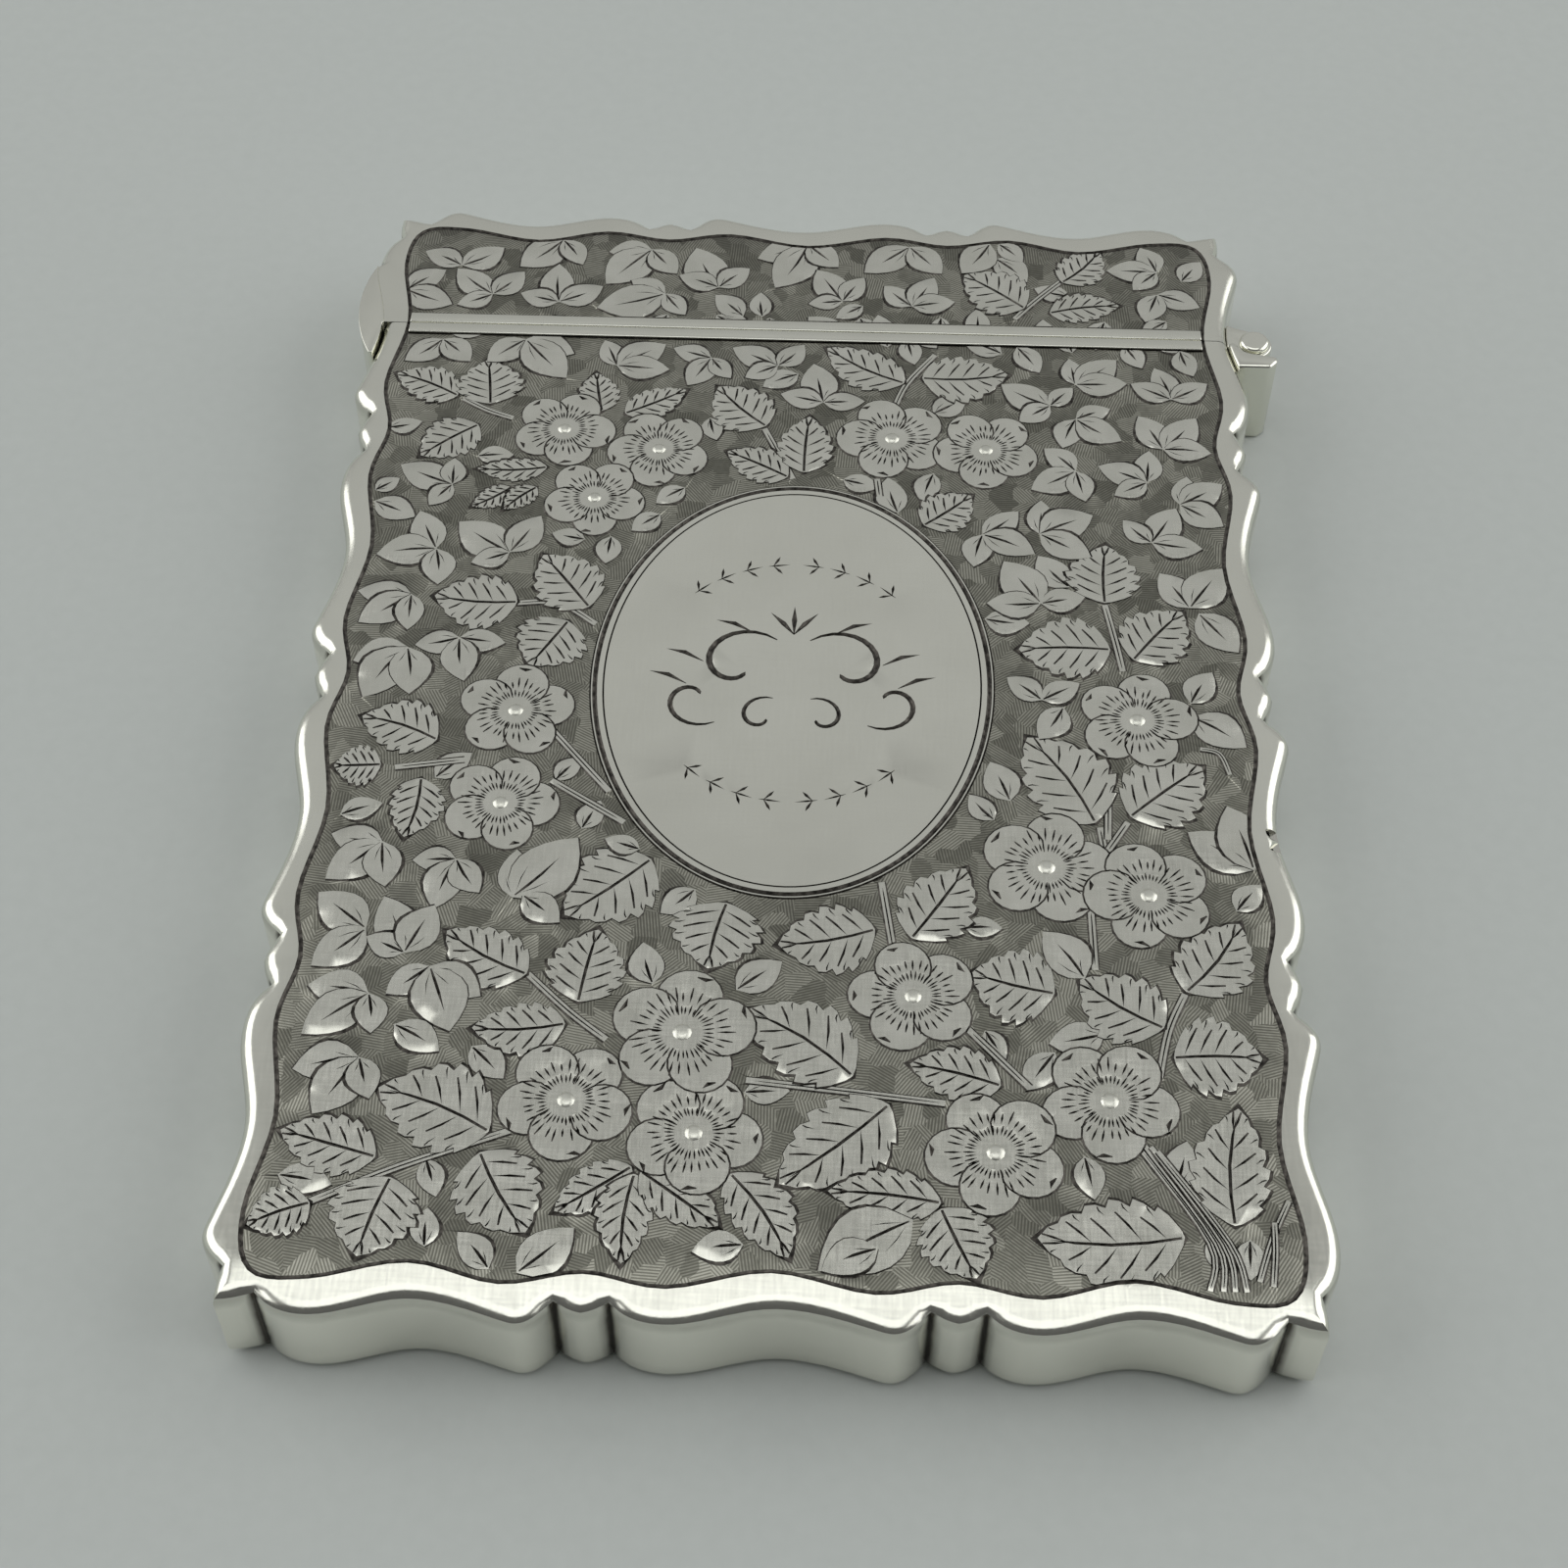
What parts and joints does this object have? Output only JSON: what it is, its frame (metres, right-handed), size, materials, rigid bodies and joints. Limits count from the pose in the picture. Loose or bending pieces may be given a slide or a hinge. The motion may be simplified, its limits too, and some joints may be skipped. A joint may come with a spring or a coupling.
{
  "type": "visiting card case",
  "caption": "Flat polished silver card case with wavy fluted edges, engraved flowers and leaves, and a short lid that swings on a side hinge.",
  "frame": {"origin": "centre of the back face that the case lies on, midway across its width and its length", "axes": "+X across the case towards the hinge, +Y along it towards the lid, +Z out of the engraved front"},
  "size_m": [0.0722, 0.099, 0.0079],
  "materials": {
    "silver": "polished, finely scratched silver",
    "engraved_silver": "engraved silver, matt hatched ground and bright flowers",
    "fluted_silver": "polished silver, tarnished in the flutes",
    "inner_silver": "satin silver",
    "pin_silver": "polished silver rivet head",
    "spring_steel": "satin spring steel"
  },
  "bodies": {
    "body": {"body_front_plate": "engraved_silver", "body_back_plate": "engraved_silver", "body_side_strip": "fluted_silver", "body_mouth_strip_front": "silver", "body_mouth_strip_back": "silver", "neck_strip_front": "inner_silver", "neck_strip_back": "inner_silver", "neck_strip_free_side": "inner_silver", "neck_strip_hinge_side": "inner_silver", "catch_spring": "spring_steel", "catch_spring_seat": "inner_silver", "hinge_lug": "silver", "hinge_middle_knuckle": "silver", "hinge_pin": "pin_silver"},
    "lid": {"lid_front_plate": "engraved_silver", "lid_back_plate": "engraved_silver", "lid_side_strip": "fluted_silver", "lid_mouth_strip_front": "silver", "lid_mouth_strip_back": "silver", "lid_thumb_piece": "silver", "lid_knuckle_front": "silver", "lid_knuckle_back": "silver"}
  },
  "joints": [
    {"name": "lid_hinge", "type": "hinge", "parent": "body", "child": "lid", "pos_m": [0.0353, 0.0362, 0.0039], "axis": [0, 0, -1], "range_deg": [0, 100]}
  ]
}
